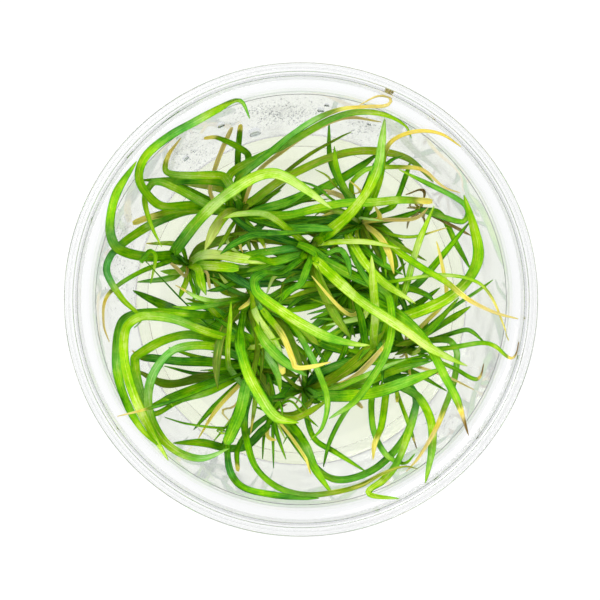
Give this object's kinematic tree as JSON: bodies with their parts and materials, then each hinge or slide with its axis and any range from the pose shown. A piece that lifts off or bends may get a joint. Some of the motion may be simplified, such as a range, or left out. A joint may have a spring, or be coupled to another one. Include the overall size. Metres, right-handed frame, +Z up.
{
  "type": "potted aquarium plant",
  "caption": "Clear round culture cup with a tangled clump of narrow strap-leaved aquarium plants rooted in a layer of pale gel.",
  "frame": {"origin": "middle of the cup's foot, on the surface that it stands on", "axes": "+Z up along the cup's axis, -Y towards the viewer"},
  "size_m": [0.101, 0.101, 0.058],
  "materials": {
    "clear_plastic": "clear injection-moulded polypropylene, smooth and glossy",
    "gel": "pale, slightly clouded nutrient gel, wet",
    "shoot": "living green blades and crown, satin",
    "leaf": "living green strap leaf, satin, with fine parallel veins"
  },
  "bodies": {
    "root": {"cup": "clear_plastic", "gel": "gel", "leaf_a1": "leaf", "leaf_a2": "leaf", "leaf_a3": "leaf", "leaf_a4": "leaf", "leaf_a5": "leaf", "leaf_a6": "leaf", "leaf_a7": "leaf", "leaf_a8": "leaf", "leaf_b1": "leaf", "leaf_b2": "leaf", "leaf_b3": "leaf", "leaf_b4": "leaf", "leaf_b5": "leaf", "leaf_b6": "leaf", "leaf_b7": "leaf", "leaf_b8": "leaf", "leaf_b9": "leaf", "leaf_c1": "leaf", "leaf_c2": "leaf", "leaf_c3": "leaf", "leaf_c4": "leaf", "leaf_d1": "leaf", "leaf_d2": "leaf", "leaf_d3": "leaf", "leaf_f1": "leaf", "leaf_f2": "leaf", "leaf_f3": "leaf", "leaf_g1": "leaf", "leaf_g2": "leaf", "leaf_h1": "leaf", "leaf_h2": "leaf", "leaf_h3": "leaf", "leaf_k1": "leaf", "leaf_k2": "leaf", "leaf_m1": "leaf", "leaf_m2": "leaf", "leaf_m3": "leaf", "leaf_m4": "leaf", "leaf_n1": "leaf", "leaf_n2": "leaf", "leaf_n3": "leaf", "leaf_p1": "leaf", "leaf_p2": "leaf", "leaf_p3": "leaf", "leaf_p4": "leaf", "shoot_a": "shoot", "shoot_b": "shoot", "shoot_c": "shoot", "shoot_d": "shoot", "shoot_e": "shoot", "shoot_f": "shoot", "shoot_g": "shoot", "shoot_h": "shoot", "shoot_k": "shoot", "shoot_m": "shoot", "shoot_n": "shoot", "shoot_p": "shoot"}
  },
  "joints": []
}
